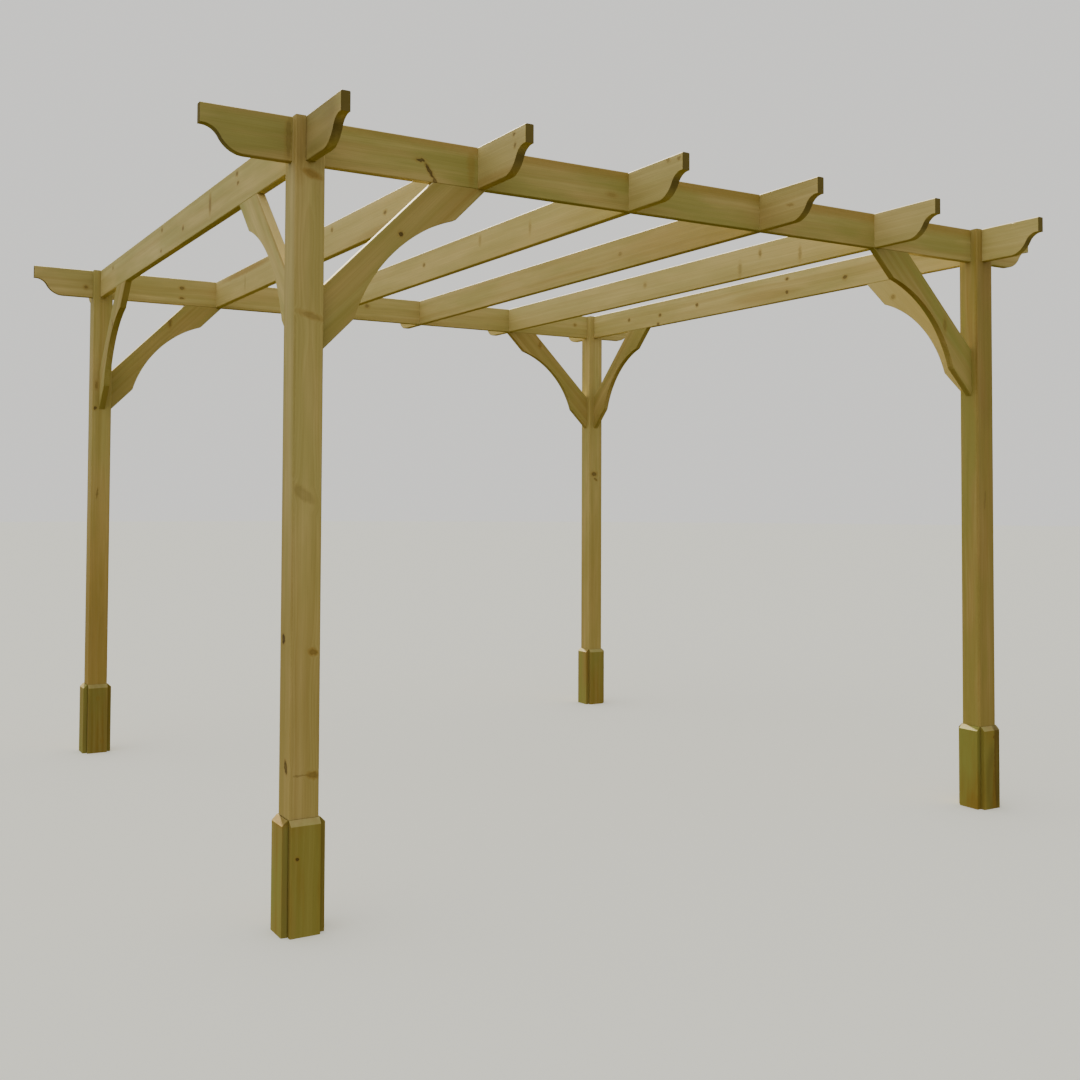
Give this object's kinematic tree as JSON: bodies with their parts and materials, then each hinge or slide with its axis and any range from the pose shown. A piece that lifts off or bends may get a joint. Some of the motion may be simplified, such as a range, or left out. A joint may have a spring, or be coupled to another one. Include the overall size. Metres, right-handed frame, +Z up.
{
  "type": "wooden pergola",
  "caption": "Free-standing square timber pergola: slotted posts with boxed feet and scooped knee braces carry halved beams and rafters with ogee ends.",
  "frame": {"origin": "on the ground at the middle of the plan", "axes": "+X to the right along the front beam, +Y from the front to the back along the rafters, +Z up"},
  "size_m": [3.7, 3.7, 2.47],
  "materials": {
    "post_timber": "planed softwood, pressure treated, matt",
    "beam_timber": "planed softwood, pressure treated, matt",
    "rafter_timber": "planed softwood, pressure treated, matt",
    "brace_timber": "planed softwood, pressure treated, matt",
    "foot_timber": "planed softwood, pressure treated, matt"
  },
  "bodies": {
    "root": {"beam_front": "beam_timber", "beam_back": "beam_timber", "rafter_1": "rafter_timber", "rafter_2": "rafter_timber", "rafter_3": "rafter_timber", "rafter_4": "rafter_timber", "rafter_5": "rafter_timber", "rafter_6": "rafter_timber", "post_front_left": "post_timber", "brace_front_left_beam": "brace_timber", "brace_front_left_rafter": "brace_timber", "foot_board_front_left_front": "foot_timber", "foot_board_front_left_back": "foot_timber", "foot_board_front_left_left": "foot_timber", "foot_board_front_left_right": "foot_timber", "post_front_right": "post_timber", "brace_front_right_beam": "brace_timber", "brace_front_right_rafter": "brace_timber", "foot_board_front_right_front": "foot_timber", "foot_board_front_right_back": "foot_timber", "foot_board_front_right_left": "foot_timber", "foot_board_front_right_right": "foot_timber", "post_back_left": "post_timber", "brace_back_left_beam": "brace_timber", "brace_back_left_rafter": "brace_timber", "foot_board_back_left_front": "foot_timber", "foot_board_back_left_back": "foot_timber", "foot_board_back_left_left": "foot_timber", "foot_board_back_left_right": "foot_timber", "post_back_right": "post_timber", "brace_back_right_beam": "brace_timber", "brace_back_right_rafter": "brace_timber", "foot_board_back_right_front": "foot_timber", "foot_board_back_right_back": "foot_timber", "foot_board_back_right_left": "foot_timber", "foot_board_back_right_right": "foot_timber"}
  },
  "joints": []
}
